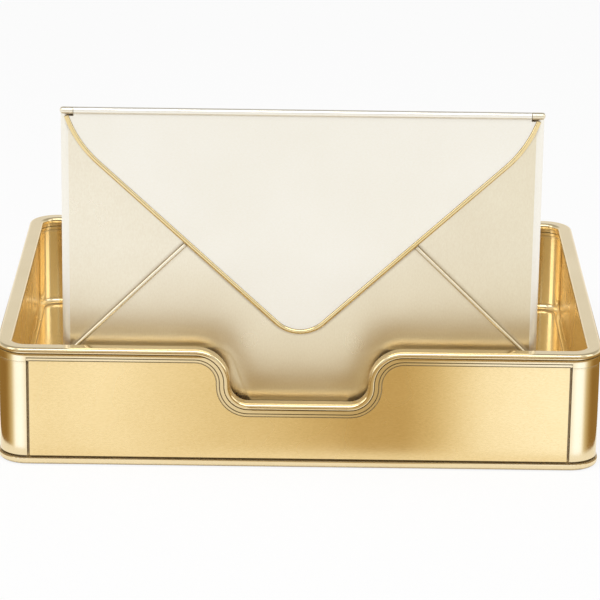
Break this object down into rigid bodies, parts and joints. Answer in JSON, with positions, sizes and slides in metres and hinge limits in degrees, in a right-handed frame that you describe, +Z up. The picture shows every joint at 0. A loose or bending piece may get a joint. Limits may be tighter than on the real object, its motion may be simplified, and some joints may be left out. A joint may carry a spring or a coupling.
{
  "type": "letter tray with envelope",
  "caption": "Open letter tray with a finger notch in its front wall and an upright metal envelope whose pointed flap hinges.",
  "frame": {"origin": "on the table under the middle of the tray, which is the middle of the part in plan", "axes": "+X along the tray's longest side, to the right seen from the front; the front wall with the finger notch faces -Y; +Z up"},
  "size_m": [0.33, 0.254, 0.1995],
  "materials": {
    "polished_gold": "polished gold anodised",
    "brushed_gold": "finely brushed gold anodised",
    "satin_champagne": "satin champagne anodised",
    "pale_champagne": "pale satin champagne anodised",
    "wire_gold": "polished gold anodised",
    "screw_steel": "plain",
    "pin_steel": "drawn",
    "foot_rubber": "matte"
  },
  "bodies": {
    "tray": {"base_plate": "polished_gold", "floor_plate": "polished_gold", "rubber_feet": "foot_rubber", "base_screws": "screw_steel", "channel_screws": "screw_steel", "front_wall": "brushed_gold", "back_wall": "brushed_gold", "left_wall": "brushed_gold", "right_wall": "brushed_gold", "front_left_post": "polished_gold", "front_right_post": "polished_gold", "back_left_post": "polished_gold", "back_right_post": "polished_gold", "front_rim": "polished_gold", "back_rim": "polished_gold", "left_rim": "polished_gold", "right_rim": "polished_gold", "front_left_rim_elbow": "polished_gold", "front_right_rim_elbow": "polished_gold", "back_left_rim_elbow": "polished_gold", "back_right_rim_elbow": "polished_gold", "envelope_channel": "polished_gold"},
    "envelope": {"back_panel": "satin_champagne", "bottom_bar": "satin_champagne", "left_spine": "pale_champagne", "right_spine": "pale_champagne", "left_side_flap": "satin_champagne", "right_side_flap": "satin_champagne", "bottom_flap": "satin_champagne", "left_seam_wire": "satin_champagne", "right_seam_wire": "satin_champagne", "left_hinge_knuckle": "satin_champagne", "right_hinge_knuckle": "satin_champagne", "hinge_pin": "pin_steel"},
    "flap": {"top_flap": "pale_champagne", "flap_edge_wire": "wire_gold"}
  },
  "joints": [
    {"name": "envelope_lift", "type": "slide", "parent": "tray", "child": "envelope", "axis": [0, 0, 1], "range_m": [0, 0.12]},
    {"name": "flap_hinge", "type": "hinge", "parent": "envelope", "child": "flap", "pos_m": [0, -0.1147, 0.1976], "axis": [-1, 0, 0], "range_deg": [0, 180]}
  ]
}
